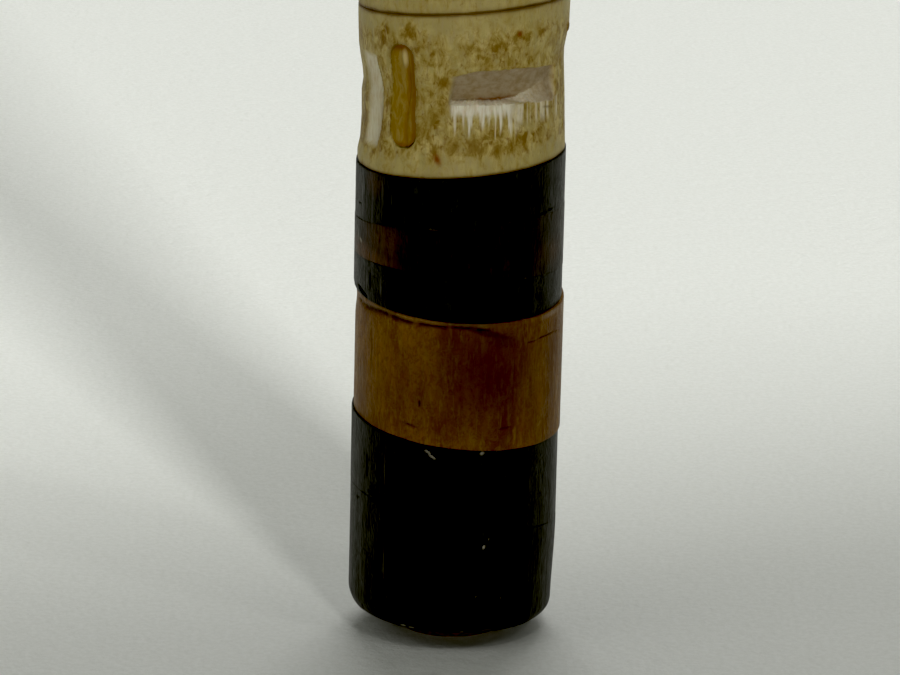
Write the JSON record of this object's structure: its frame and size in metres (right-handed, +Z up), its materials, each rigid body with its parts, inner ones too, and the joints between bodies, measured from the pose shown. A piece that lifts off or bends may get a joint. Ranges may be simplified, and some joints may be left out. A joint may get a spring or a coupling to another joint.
{
  "type": "walking stick",
  "caption": "Straight segmented walking stick: vertebra beads on a steel core rod, horn rings at the foot and collar, and an L-shaped horn handle.",
  "frame": {"origin": "middle of the flat face that the stick stands on, at the bottom of the foot plug", "axes": "+Z up along the core rod to the handle; +X along the handle's arm, away from the shaft; -Y is the side of the foot with the chisel cut and the resin-filled slot"},
  "size_m": [0.1069, 0.0234, 0.8541],
  "materials": {
    "vertebra_bone": "polished vertebra bone, cream with olive-brown pores, satin",
    "black_horn": "black horn, filed lengthwise and waxed, satin",
    "brown_horn": "dark brown translucent horn, satin",
    "amber_horn": "amber translucent horn with darker streaks, semi-gloss",
    "resin": "hard brown translucent resin",
    "rod_steel": "drawn steel rod, ends threaded on the real thing",
    "brass": "plain turned brass",
    "plug_wood": "dark end-grain wood, worn"
  },
  "bodies": {
    "root": {"amber_ring": "amber_horn", "brown_ring": "brown_horn", "collar_amber": "amber_horn", "collar_black_lower": "black_horn", "collar_black_upper": "black_horn", "core_rod": "rod_steel", "foot_nut": "brass", "foot_plug": "plug_wood", "foot_tip": "black_horn", "foot_washer": "brass", "handle": "black_horn", "handle_bush": "brass", "lower_black_ring": "black_horn", "middle_black_ring": "black_horn", "nose_cap": "amber_horn", "nose_dowel": "brass", "slot_resin": "resin", "upper_black_ring": "black_horn", "vertebra_01": "vertebra_bone", "vertebra_02": "vertebra_bone", "vertebra_03": "vertebra_bone", "vertebra_04": "vertebra_bone", "vertebra_05": "vertebra_bone", "vertebra_06": "vertebra_bone", "vertebra_07": "vertebra_bone", "vertebra_08": "vertebra_bone", "vertebra_09": "vertebra_bone", "vertebra_10": "vertebra_bone", "vertebra_11": "vertebra_bone", "vertebra_12": "vertebra_bone", "vertebra_13": "vertebra_bone", "vertebra_14": "vertebra_bone", "vertebra_15": "vertebra_bone", "vertebra_16": "vertebra_bone", "vertebra_17": "vertebra_bone", "vertebra_18": "vertebra_bone", "vertebra_19": "vertebra_bone", "vertebra_20": "vertebra_bone", "vertebra_21": "vertebra_bone", "vertebra_22": "vertebra_bone", "vertebra_23": "vertebra_bone", "vertebra_24": "vertebra_bone", "vertebra_25": "vertebra_bone", "vertebra_26": "vertebra_bone", "vertebra_27_28": "vertebra_bone", "vertebra_29_30": "vertebra_bone", "vertebra_31_32": "vertebra_bone", "vertebra_33_34": "vertebra_bone", "vertebra_35_36": "vertebra_bone", "vertebra_37_38": "vertebra_bone", "vertebra_39_40": "vertebra_bone", "vertebra_41_42": "vertebra_bone", "vertebra_43_44": "vertebra_bone", "vertebra_45_46": "vertebra_bone", "vertebra_47_48": "vertebra_bone", "vertebra_49_50": "vertebra_bone", "vertebra_51_52": "vertebra_bone", "vertebra_53_54": "vertebra_bone"}
  },
  "joints": []
}
